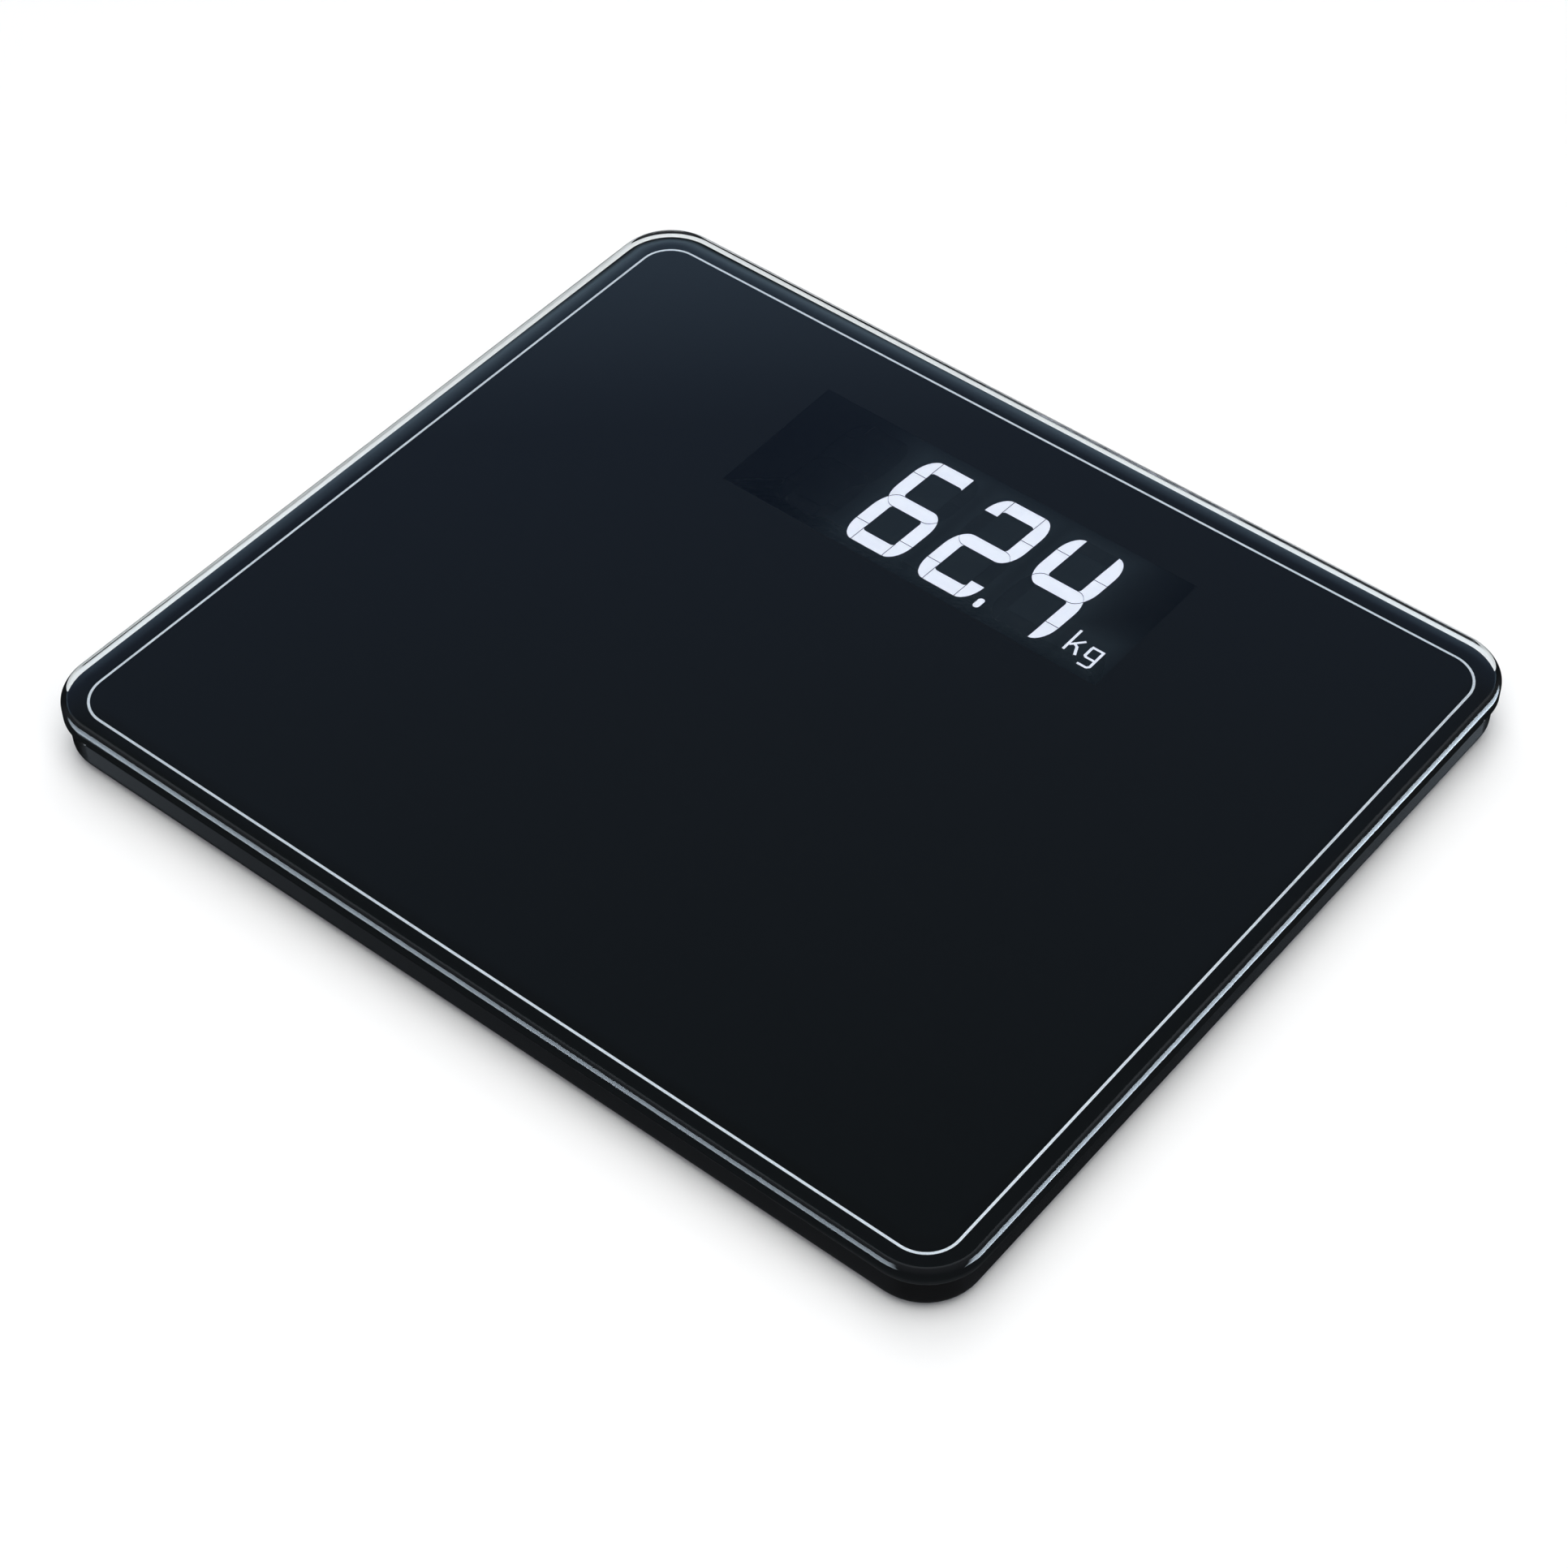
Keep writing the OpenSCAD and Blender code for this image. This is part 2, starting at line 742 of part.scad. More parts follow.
module negative_contact() color([0.8, 0.8, 0.78]) {
    contact_plate(-1, -1, -1, -1);
    contact_spring(-1, -1);
}
module right_bridge_contact() color([0.8, 0.8, 0.78]) {
    contact_plate(1, -1, 0, undef);
    contact_dimple(1, -1);
    contact_spring(1, 0);
}
module left_bridge_contact() color([0.8, 0.8, 0.78]) {
    contact_plate(-1, 0, 1, undef);
    contact_dimple(-1, 0);
    contact_spring(-1, 1);
}
module positive_contact() color([0.8, 0.8, 0.78]) {
    contact_plate(1, 1, 1, 1);
    contact_dimple(1, 1);
}

// ---- Unit button and main board ----

module unit_button()
    color([0.75, 0.76, 0.78])
        translate([button_x, board_y, 0]) {
            translate([0, 0, button_low_z + button_chamfer])
                cylinder(h = button_top_z - button_low_z - button_chamfer, r = button_r);
            translate([0, 0, button_low_z])
                cylinder(h = button_chamfer + eps, r1 = button_r - button_chamfer, r2 = button_r);
            translate([0, 0, floor_z + button_lift])
                cylinder(h = button_flange_t, r = button_flange_r);
        }

module unit_switch()
    color([0.1, 0.1, 0.1])
        translate([button_x, board_y, 0])
            difference() {
                translate([-switch_side / 2, -switch_side / 2, switch_z])
                    cube([switch_side, switch_side, board_z - switch_z]);
                translate([0, 0, switch_z - eps])
                    cylinder(h = plunger_depth, r = plunger_r + plunger_gap);
            }

module unit_switch_plunger()
    color([0.85, 0.6, 0.2])
        translate([button_x, board_y, button_top_z])
            cylinder(h = switch_z - button_top_z + plunger_hold, r = plunger_r);

module main_board()
    color([0.08, 0.35, 0.2])
        difference() {
            translate([-board_size[0] / 2, board_y - board_size[1] / 2, board_z])
                cube(board_size);
            at_board_posts()
                translate([0, 0, board_z - over])
                    cylinder(h = board_size[2] + 2 * over, r = screw_r + through_gap);
        }

module processor()
    color([0.07, 0.07, 0.08])
        translate([chip_x, board_y, board_z + board_size[2]]) {
            translate([-chip_size[0] / 2, -chip_size[1] / 2, chip_lift])
                cube(chip_size);
            for (a = [0 : 90 : 270], i = [-chip_pins : chip_pins])
                rotate(a)
                    translate([chip_size[0] / 2, i * pin_pitch - pin_size[1] / 2, 0])
                        cube(pin_size);
        }

module board_parts() {
    top = board_z + board_size[2];
    color([0.75, 0.65, 0.45]) {
        for (place = PART_ROWS, i = [1 : place[2]])
            translate([place[0] + part_pitch * i, board_y + place[1], top])
                cube(small_part_size);
        translate([crystal_at[0], board_y + crystal_at[1], top])
            cube(crystal_size);
        translate([capacitor_at[0], board_y + capacitor_at[1], top])
            cylinder(h = capacitor_h, r = capacitor_r);
    }
}

module sensor_sockets()
    color([0.92, 0.91, 0.86])
        for (side = [-1, 1])
            translate([side * socket_x, board_y, board_z - socket_size[2] / 2])
                difference() {
                    cube(socket_size, center = true);
                    translate([side * socket_shift, 0, -socket_drop])
                        cube([socket_size[0], socket_size[1] - socket_wall, socket_mouth_h], center = true);
                }

module board_screws()
    color([0.7, 0.7, 0.72])
        at_board_posts()
            translate([0, 0, board_z + board_size[2]])
                screw(screw_l);

// Ribbon between the two boards, bent down from the main board to the display board
module display_ribbon() {
    low = [[RIBBON_Y[0], dboard_z - ribbon_t], [RIBBON_Y[1], dboard_z - ribbon_t],
           [RIBBON_Y[2], board_z - ribbon_t], [RIBBON_Y[3], board_z - ribbon_t]];
    high = [for (i = [3 : -1 : 0]) low[i] + [0, ribbon_t]];
    color([0.85, 0.85, 0.8])
        translate([-ribbon_w / 2, 0, 0])
            rotate([90, 0, 90])
                linear_extrude(ribbon_w)
                    polygon(concat(low, high));
}

// ---- Wires ----

module wire_set(route, count, z = wire_z)
    for (k = [0 : count - 1]) {
        shift = (k - (count - 1) / 2) * wire_pitch;
        points = [for (p = route) [p[0] + shift * p[2], p[1] + shift * p[3], z]];
        tube(rounded_route(points, wire_bend + shift), wire_r);
    }

// From a load cell's plate, along the side of the base and in to its socket. Each point
// also says which way the wires beside the middle one are moved there.
function lead_route(sx, sy, run_x, in_y) = [
    [sx * (foot_x - seat_side / 2 + 6), sy * foot_y, 0, 1],
    [sx * run_x, sy * foot_y, -sy * sx, 1],
    [sx * run_x, in_y, -sy * sx, 1],
    [sx * (socket_x + socket_size[0] / 2 - 2), in_y, 0, 1]
];

module sensor_leads(sx, sy, run_x)
    color([0.8, 0.2, 0.15])
        wire_set(lead_route(sx, sy, run_x, board_y + sy * lead_row_dy), leads_per_cell);

module sensor_leads_fl() sensor_leads(-1, -1, front_lead_x);
module sensor_leads_fr() sensor_leads(1, -1, front_lead_x);
module sensor_leads_bl() sensor_leads(-1, 1, back_lead_x);
module sensor_leads_br() sensor_leads(1, 1, back_lead_x);

module battery_leads()
    color([0.75, 0.15, 0.12])
        for (side = [-1, 1]) {
            start = [side * BATTERY_LEAD[0][0], bay_y + side * battery_pitch];
            rest = [for (i = [1 : len(BATTERY_LEAD) - 1])
                [side * BATTERY_LEAD[i][0], BATTERY_LEAD[i][1], BATTERY_LEAD[i][2]]];
            tube(concat([[start[0], start[1], BATTERY_LEAD[0][2]],
                         [start[0], start[1] + lead_straight, BATTERY_LEAD[0][2]]], rest), wire_r);
        }

// ---- Display ----

// Leans a digit's point sideways with its height
function leaned(p) = [p[0] + lean * p[1], p[1]];
function leaned_all(points) = [for (p = points) leaned(p)];

// Outline of one loop of a digit, between two heights
function loop_outline(low, high) = concat(
    arc([stroke_w, low + corner_h], stroke_w, corner_h, 180, 270),
    arc([digit_w - stroke_w, low + corner_h], stroke_w, corner_h, 270, 360),
    arc([digit_w - stroke_w, high - corner_h], stroke_w, corner_h, 0, 90),
    arc([stroke_w, high - corner_h], stroke_w, corner_h, 90, 180)
);
function loop_hole(low, high) =
    let (l = stroke_w + inner_r, r = digit_w - stroke_w - inner_r,
         b = low + stroke_h + inner_r, t = high - stroke_h - inner_r)
    concat(arc([l, b], inner_r, inner_r, 180, 270, 3), arc([r, b], inner_r, inner_r, 270, 360, 3),
           arc([r, t], inner_r, inner_r, 0, 90, 3), arc([l, t], inner_r, inner_r, 90, 180, 3));

module loop_area(low, high)
    polygon(leaned_all(loop_outline(low, high)));

module loop(low, high) difference() {
    loop_area(low, high);
    polygon(leaned_all(loop_hole(low, high)));
}

// A leaned box [left, right, low, high] in a digit's own units
module cell(b)
    polygon(leaned_all([[b[0], b[2]], [b[1], b[2]], [b[1], b[3]], [b[0], b[3]]]));

function has(list, name) = len([for (s = list) if (s == name) 1]) > 0;
function unlit(lit) = [for (s = ALL_BARS) if (!has(lit, s)) s];

// Thin dark lines between the light bars
module gap_lines() {
    for (x = [l1, r0]) {
        cell([x - gap / 2, x + gap / 2, digit_h - stroke_h - inner_r, over_v]);
        cell([x - gap / 2, x + gap / 2, under_v, stroke_h + inner_r]);
    }
    cell([l0, digit_w / 2, top_left_v - gap / 2, top_left_v + gap / 2]);
    cell([digit_w / 2, r1, top_right_v - gap / 2, top_right_v + gap / 2]);
    cell([l0, r1, corner_h - gap / 2, corner_h + gap / 2]);
}

// The middle bar is where the two loops overlap, so it has pointed ends
module bars(names) difference() {
    union() {
        for (s = UPPER)
            if (has(names, s[0]))
                intersection() {
                    difference() {
                        loop(upper_low, digit_h);
                        loop_area(under_v, loop_overlap + gap);
                    }
                    cell(s[1]);
                }
        for (s = LOWER)
            if (has(names, s[0]))
                intersection() {
                    difference() {
                        loop(0, loop_overlap);
                        loop_area(upper_low - gap, over_v);
                    }
                    cell(s[1]);
                }
        if (has(names, "middle"))
            intersection() {
                loop_area(upper_low, digit_h);
                loop_area(0, loop_overlap);
            }
    }
    gap_lines();
}

module in_digit(place)
    translate([first_digit_x + place * digit_pitch, digit_low_y])
        children();

module point_shape()
    translate([first_digit_x + point_x + digit_pitch, digit_low_y])
        polygon(leaned_all(concat(
            arc([point_size[0] / 2, point_size[0] / 2], point_size[0] / 2, point_size[0] / 2, 180, 360),
            arc([point_size[0] / 2, point_size[1] - point_size[0] / 2], point_size[0] / 2,
                point_size[0] / 2, 0, 180))));

// The unit sign: thin strokes with round-cornered bowls
module stroke(a, b) {
    n = sign_t / 2 * unit([a[1] - b[1], b[0] - a[0]]);
    polygon([a + n, a - n, b - n, b + n]);
}
module kilogram_shape()
    translate([sign_x, digit_low_y]) {
        for (s = KILOGRAM)
            stroke([s[0], s[1]], [s[2], s[3]]);
    }

module all_shapes() {
    for (place = [0 : 3])
        in_digit(place)
            bars(ALL_BARS);
    point_shape();
    kilogram_shape();
}

module light_bar()
    translate([0, 0, bar_z])
        linear_extrude(mask_z - bar_z)
            children();

module hundreds_digit() color([0.15, 0.17, 0.2]) light_bar() in_digit(0) bars(ALL_BARS);
module tens_digit() color([0.95, 0.96, 1]) light_bar() in_digit(1) bars(SIX);
module units_digit() color([0.95, 0.96, 1]) light_bar() in_digit(2) bars(TWO);
module tenths_digit() color([0.95, 0.96, 1]) light_bar() in_digit(3) bars(FOUR);
module decimal_point() color([0.95, 0.96, 1]) light_bar() point_shape();
module kilogram_sign() color([0.95, 0.96, 1]) light_bar() kilogram_shape();
module idle_segments()
    color([0.15, 0.17, 0.2])
        light_bar() {
            in_digit(1) bars(unlit(SIX));
            in_digit(2) bars(unlit(TWO));
            in_digit(3) bars(unlit(FOUR));
        }

module segment_mask()
    color([0.04, 0.05, 0.06])
        translate([0, 0, mask_z])
            linear_extrude(mask_t) difference() {
                translate([0, window_y])
                    square(module_size, center = true);
                all_shapes();
            }

module light_reflector()
    color([0.92, 0.92, 0.9])
        translate([0, 0, reflector_z])
            linear_extrude(mask_z - reflector_z) difference() {
                translate([0, window_y])
                    square(module_size, center = true);
                all_shapes();
            }

module display_board()
    color([0.08, 0.35, 0.2])
        translate([0, window_y, dboard_z + dboard_t / 2])
            cube([module_size[0], module_size[1], dboard_t], center = true);

// One LED under the middle of each light bar
module display_leds() {
    u_mid = digit_w / 2;
    place_one = [first_digit_x, digit_low_y];
    spots = [for (u = [l1 / 2, r0 + l1 / 2], v = LED_HEIGHTS) [u, v, 90],
             for (v = [digit_h - stroke_h / 2, digit_h / 2, stroke_h / 2]) [u_mid, v, 0]];
    color([0.95, 0.9, 0.6])
        translate([0, 0, reflector_z + led_size[2] / 2])
            for (place = [0 : 3], s = spots)
                translate(place_one + [place * digit_pitch, 0] + leaned([s[0], s[1]]))
                    rotate(s[2])
                        cube(led_size, center = true);
}

module display_frame() {
    h = print_z - frame_z;
    color([0.1, 0.1, 0.1]) difference() {
        union() {
            translate([0, window_y, frame_z + h / 2])
                cube([frame_size[0], frame_size[1], h], center = true);
            at_display_ears()
                translate([-ear_l / 2, -ear_w / 2, ear_z])
                    cube([ear_l, ear_w, ear_t]);
        }
        translate([0, window_y, dboard_z + h / 2])
            cube([frame_size[0] - 2 * frame_wall, frame_size[1] - 2 * frame_wall, h], center = true);
        for (side = [-1 : 1])
            translate([side * vent_dx, window_y, frame_z])
                cube([vent_size[0], vent_size[1], 4 * frame_floor_t], center = true);
        translate([0, window_y - frame_size[1] / 2, frame_z + 2])
            cube([ribbon_w + 1, ribbon_slot[0], ribbon_slot[1]], center = true);
        at_display_ears()
            translate([0, 0, ear_z - over])
                cylinder(h = ear_t + 2 * over, r = screw_r + through_gap);
    }
}

module display_screws()
    color([0.7, 0.7, 0.72])
        at_display_ears()
            translate([0, 0, ear_z + ear_t])
                screw(screw_l);

// ---- Feet and load cells ----

module foot()
    color([0.16, 0.16, 0.17]) difference() {
        rotate_extrude()
            polygon(concat(
                [[0, foot_bottom_z]],
                arc([foot_r - foot_edge_r, foot_bottom_z + foot_edge_r], foot_edge_r, foot_edge_r,
                    -90, 0, 4),
                [[foot_r, floor_z + foot_lift], [foot_flange_r, floor_z + foot_lift],
                 [foot_flange_r, floor_z + foot_lift + foot_flange_t],
                 [foot_post_r, floor_z + foot_lift + foot_flange_t], [foot_post_r, cell_z], [0, cell_z]]));
        translate([0, 0, -eps])
            cylinder(h = pad_t + eps, r = pad_r);
    }

// The rubber pad's tread: grooves round its lower face
function pad_groove(r) = [
    [r - pad_groove_w / 2, 0], [r - pad_groove_w / 4, pad_groove_depth],
    [r + pad_groove_w / 4, pad_groove_depth], [r + pad_groove_w / 2, 0]
];
module foot_pad()
    color([0.25, 0.25, 0.26])
        rotate_extrude()
            polygon(concat(
                [[0, pad_dish], [pad_dish_r, pad_dish], [pad_dish_r + pad_dish, 0]],
                [for (r = PAD_GROOVES) each pad_groove(r)],
                [[pad_r - pad_bevel, 0], [pad_r - pad_fit, pad_bevel]],
                [[pad_r - pad_fit, pad_t], [0, pad_t]]));

// A steel plate cut into a frame with a tongue; the gauge is on the tongue's root
module load_cell()
    color([0.7, 0.71, 0.72])
        translate([0, 0, cell_z])
            linear_extrude(cell_t) difference() {
                round_rect(cell_side, cell_side, cell_corner_r);
                for (side = [-1, 1])
                    translate([side * (tongue_w + slot_w) / 2, 0])
                        square([slot_w, 2 * slot_reach], center = true);
                translate([0, slot_reach - slot_w / 2])
                    square([tongue_w + eps, slot_w], center = true);
            }

module strain_gauge()
    translate([-gauge_size[0] / 2, -slot_reach, cell_z - gauge_size[2]])
        cube(gauge_size);

// Moulded holder bonded under the glass: a pocket for the plate, room above the tongue,
// and lips that hold the plate's edge
module load_cell_seat()
    color([0.3, 0.3, 0.31]) {
        difference() {
            translate([0, 0, seat_z])
                linear_extrude(print_z - seat_z)
                    round_rect(seat_side, seat_side, seat_corner_r);
            translate([0, 0, seat_z - eps])
                linear_extrude(cell_z + cell_t - seat_z + eps)
                    round_rect(cell_side + 2 * seat_gap, cell_side + 2 * seat_gap, cell_corner_r);
            translate([-tongue_w / 2 - slot_w - tongue_room, -slot_reach - 2 * tongue_room, cell_z])
                cube([tongue_w + 2 * slot_w + 2 * tongue_room, 2 * slot_reach + 4 * tongue_room,
                      tongue_room_h]);
        }
        for (a = [90, 270])
            rotate(a)
                translate([cell_side / 2 - lip_reach, -lip_w / 2, seat_z - lip_t])
                    cube([lip_reach + seat_gap + lip_root, lip_w, lip_t]);
    }

module at_foot(x, y)
    translate([x * foot_x, y * foot_y, 0])
        children();

module foot_fl() at_foot(-1, -1) foot();
module foot_fr() at_foot(1, -1) foot();
module foot_bl() at_foot(-1, 1) foot();
module foot_br() at_foot(1, 1) foot();
module foot_pad_fl() at_foot(-1, -1) foot_pad();
module foot_pad_fr() at_foot(1, -1) foot_pad();
module foot_pad_bl() at_foot(-1, 1) foot_pad();
module foot_pad_br() at_foot(1, 1) foot_pad();
module load_cell_fl() at_foot(-1, -1) load_cell();
module load_cell_fr() at_foot(1, -1) load_cell();
module load_cell_bl() at_foot(-1, 1) load_cell();
module load_cell_br() at_foot(1, 1) load_cell();
module load_cell_seat_fl() at_foot(-1, -1) load_cell_seat();
module load_cell_seat_fr() at_foot(1, -1) load_cell_seat();
module load_cell_seat_bl() at_foot(-1, 1) load_cell_seat();
module load_cell_seat_br() at_foot(1, 1) load_cell_seat();
module strain_gauges() color([0.95, 0.94, 0.9]) at_feet() strain_gauge();

// ---- Nodes ----

glass_platform();
back_print();
silver_pinline();
display_window();
bonding_tape();
base_tray();
battery_door();
battery_front();
battery_middle();
battery_back();
negative_contact();
positive_contact();
left_bridge_contact();
right_bridge_contact();
unit_button();
unit_switch();
unit_switch_plunger();
display_frame();
segment_mask();
light_reflector();
hundreds_digit();
tens_digit();
units_digit();
tenths_digit();
decimal_point();
kilogram_sign();
idle_segments();
display_board();
display_leds();
display_screws();
main_board();
processor();
board_parts();
sensor_sockets();
display_ribbon();
board_screws();
battery_leads();
sensor_leads_fl();
sensor_leads_fr();
sensor_leads_bl();
sensor_leads_br();
foot_fl();
foot_fr();
foot_bl();
foot_br();
foot_pad_fl();
foot_pad_fr();
foot_pad_bl();
foot_pad_br();
load_cell_fl();
load_cell_fr();
load_cell_bl();
load_cell_br();
load_cell_seat_fl();
load_cell_seat_fr();
load_cell_seat_bl();
load_cell_seat_br();
strain_gauges();
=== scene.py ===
"""Looks for the digital bathroom scale: glass, prints, lit display, plastics, metal and the studio."""

import json
import math

import bpy
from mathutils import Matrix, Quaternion, Vector
from mathutils.geometry import tessellate_polygon


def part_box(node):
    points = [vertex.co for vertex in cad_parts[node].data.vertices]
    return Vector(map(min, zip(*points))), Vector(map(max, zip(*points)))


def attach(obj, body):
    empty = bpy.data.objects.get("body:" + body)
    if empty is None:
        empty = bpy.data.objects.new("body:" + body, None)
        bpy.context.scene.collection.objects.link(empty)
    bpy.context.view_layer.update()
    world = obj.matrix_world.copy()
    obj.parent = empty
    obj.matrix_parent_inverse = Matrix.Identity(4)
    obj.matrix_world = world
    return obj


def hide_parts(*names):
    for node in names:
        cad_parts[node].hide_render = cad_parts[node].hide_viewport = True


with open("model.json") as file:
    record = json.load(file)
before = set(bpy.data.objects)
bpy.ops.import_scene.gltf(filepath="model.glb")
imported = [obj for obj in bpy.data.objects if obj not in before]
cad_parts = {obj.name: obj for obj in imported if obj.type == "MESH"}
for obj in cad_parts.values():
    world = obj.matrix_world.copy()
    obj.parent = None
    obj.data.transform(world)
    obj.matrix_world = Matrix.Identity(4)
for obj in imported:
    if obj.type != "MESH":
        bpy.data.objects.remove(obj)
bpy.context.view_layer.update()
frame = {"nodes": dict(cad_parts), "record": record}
NODES = frame["nodes"]
ROOT = "scale"
MM = 0.001
LIT_NODES = ("tens_digit", "units_digit", "tenths_digit", "kilogram_sign")


# ---- Node helpers ----


class Shader:
    """A material with a Principled shader and short calls for its nodes."""

    def __init__(self, name):
        self.material = bpy.data.materials.new(name)
        self.material.use_nodes = True
        self.tree = self.material.node_tree
        self.tree.nodes.clear()
        self.out = self.tree.nodes.new("ShaderNodeOutputMaterial")
        self.surface = self.tree.nodes.new("ShaderNodeBsdfPrincipled")
        self.tree.links.new(self.surface.outputs[0], self.out.inputs["Surface"])
        self.place = self.tree.nodes.new("ShaderNodeTexCoord").outputs["Object"]

    def node(self, kind, inputs=None, **settings):
        made = self.tree.nodes.new(kind)
        for key, value in settings.items():
            setattr(made, key, value)
        for key, value in (inputs or {}).items():
            self.put(made.inputs[key], value)
        return made

    def put(self, socket, value):
        """Sets a socket to a number or colour, or links it to another socket."""
        if isinstance(value, bpy.types.NodeSocket):
            self.tree.links.new(value, socket)
        elif hasattr(value, "__len__") and len(value) == 3 and socket.type == "RGBA":
            socket.default_value = (*value, 1.0)
        else:
            socket.default_value = value

    def set(self, **values):
        """Sets the Principled shader's sockets, with _ for a space in a name."""
        for key, value in values.items():
            self.put(self.surface.inputs[key.replace("_", " ")], value)
        return self

    def math(self, operation, a, b):
        made = self.node("ShaderNodeMath", operation=operation)
        self.put(made.inputs[0], a)
        self.put(made.inputs[1], b)
        return made.outputs[0]

    def stretched(self, scale):
        """The place in the object's frame, scaled along each axis."""
        return self.node("ShaderNodeMapping", {"Vector": self.place, "Scale": scale}).outputs[0]

    def noise(self, scale, detail=4.0, rough=0.6, vector=None):
        vector = self.place if vector is None else vector
        inputs = {"Vector": vector, "Scale": scale, "Detail": detail, "Roughness": rough}
        return self.node("ShaderNodeTexNoise", inputs).outputs[0]

    def cells(self, scale):
        inputs = {"Vector": self.place, "Scale": scale}
        return self.node("ShaderNodeTexVoronoi", inputs, feature="F1").outputs["Distance"]

    def between(self, factor, low, high):
        """A number that goes from low to high as the factor goes from 0 to 1."""
        inputs = {"Value": factor, "To Min": low, "To Max": high}
        return self.node("ShaderNodeMapRange", inputs).outputs[0]

    def blend(self, factor, a, b):
        """A colour between a and b."""
        made = self.node("ShaderNodeMix", data_type="RGBA")
        self.put(made.inputs["Factor"], factor)
        self.put(made.inputs[6], a)
        self.put(made.inputs[7], b)
        return made.outputs[2]

    def bump(self, height, strength, distance):
        inputs = {"Height": height, "Strength": strength, "Distance": distance}
        self.set(Normal=self.node("ShaderNodeBump", inputs).outputs[0])
        return self


def shade(colour, factor):
    return tuple(min(1.0, c * factor) for c in colour)


# ---- Materials ----

GLOW_REACH = 6 * MM  # the painted glow round the lit bars halves over this distance
GLOW_COLOUR = (0.55, 0.8, 1.0)


def moulded_plastic(name, colour, rough, depth=0.01 * MM, gloss=0.5):
    """Moulded plastic with a fine spark texture and slight unevenness of colour and gloss."""
    grain, spread = 1400.0, 0.05
    s = Shader(name)
    patches = s.noise(28.0, 3.0)
    grains = s.noise(grain, 2.0, 0.5)
    s.set(Base_Color=s.blend(patches, shade(colour, 0.85), shade(colour, 1.2)))
    s.set(Roughness=s.between(grains, rough - spread, rough + spread), IOR=1.5, Specular_IOR_Level=gloss)
    return s.bump(grains, 0.5, depth).material


def rubber(name, colour):
    s = Shader(name)
    dust = s.noise(90.0, 5.0, 0.7)
    grains = s.noise(2200.0, 2.0)
    s.set(Base_Color=s.blend(dust, shade(colour, 0.8), shade(colour, 1.35)))
    s.set(Roughness=s.between(dust, 0.72, 0.9), IOR=1.5, Specular_IOR_Level=0.35)
    return s.bump(grains, 0.4, 0.02 * MM).material


def brushed_metal(name, colour, rough):
    """Metal with fine lines along X, and a faint stain."""
    along = (60.0, 2600.0, 2600.0)
    s = Shader(name)
    lines = s.noise(1.0, 3.0, 0.6, s.stretched(along))
    stain = s.noise(140.0, 4.0)
    s.set(Base_Color=s.blend(stain, shade(colour, 0.88), shade(colour, 1.06)), Metallic=1.0)
    s.set(Roughness=s.between(lines, rough - 0.08, rough + 0.1))
    return s.bump(lines, 0.25, 0.01 * MM).material


def clear_glass():
    """Float glass: clear on its faces, with the faint green-blue body colour that shows at the edge."""
    s = Shader("float_glass")
    drift = s.noise(14.0, 1.0)
    s.set(Base_Color=s.blend(drift, (0.92, 0.96, 0.965), (0.94, 0.97, 0.975)))
    s.set(Roughness=0.0, IOR=1.52, Transmission_Weight=1.0)
    return s.material


def enamel_print():
    """Blue-black enamel wetted to the glass: no gloss of its own there; a faint painted glow stands in for
    the light it would catch.
    """
    s = Shader("enamel_print")
    drift = s.noise(9.0, 2.0)
    specks = s.noise(3200.0, 2.0)
    tone_and_painted_glow = s.blend(drift, (0.0044, 0.0053, 0.0062), (0.0050, 0.0060, 0.0069))
    tone_and_painted_glow = s.blend(specks, tone_and_painted_glow, (0.0055, 0.0066, 0.0075))
    # the emission is a painted glow on the print, in place of the light that the enamel would catch under
    # the glass
    s.set(Base_Color=(0.0012, 0.0014, 0.0016), Emission_Color=tone_and_painted_glow, Emission_Strength=1.0)
    s.set(Roughness=s.between(specks, 0.5, 0.6), Specular_IOR_Level=0.0)
    return s.material


def silver_ink():
    """Metallic ink: fine flakes, each painted lighter at its middle and darker outward as a glint where it
    would catch the light a little differently.
    """
    s = Shader("silver_ink")
    flakes_and_painted_glints = s.cells(5200.0)
    # the flakes' light middles and darker rims are painted glints; their roughness differs for real
    s.set(Base_Color=s.blend(flakes_and_painted_glints, (0.93, 0.96, 1.0), (0.62, 0.67, 0.74)))
    s.set(Metallic=0.5, Roughness=s.between(flakes_and_painted_glints, 0.32, 0.46), Specular_IOR_Level=0.2)
    return s.material


def smoked_window():
    """Smoked print: most of the light comes through, and a little dark smoke tint stays on it."""
    s = Shader("smoked_window")
    smoke_tint_and_painted_glow = s.noise(60.0, 2.0)
    s.set(Base_Color=s.blend(smoke_tint_and_painted_glow, (0.0010, 0.0014, 0.0016), (0.0015, 0.0020, 0.0022)))
    s.set(Roughness=0.6, Specular_IOR_Level=0.0, Alpha=0.12)
    return s.material


def glow_round_bars(s):
    """1 over each lit node, and half as much for each reach further from its box."""
    total = 0.0
    for node in LIT_NODES:
        low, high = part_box(node)
        middle, half = (low + high) / 2, (high - low) / 2
        off = s.node("ShaderNodeVectorMath", {0: s.place, 1: middle}, operation="SUBTRACT").outputs[0]
        off = s.node("ShaderNodeVectorMath", {0: off}, operation="ABSOLUTE").outputs[0]
        off = s.node("ShaderNodeVectorMath", {0: off, 1: half}, operation="SUBTRACT").outputs[0]
        off = s.node("ShaderNodeVectorMath", {0: off, 1: (0.0, 0.0, 0.0)}, operation="MAXIMUM").outputs[0]
        flat = s.node("ShaderNodeVectorMath", {0: off, 1: (1.0, 1.0, 0.0)}, operation="MULTIPLY").outputs[0]
        far = s.node("ShaderNodeVectorMath", {0: flat}, operation="LENGTH").outputs["Value"]
        glow = s.math("POWER", 2.0, s.math("DIVIDE", far, -GLOW_REACH))
        total = s.math("MAXIMUM", total, glow)
    return total


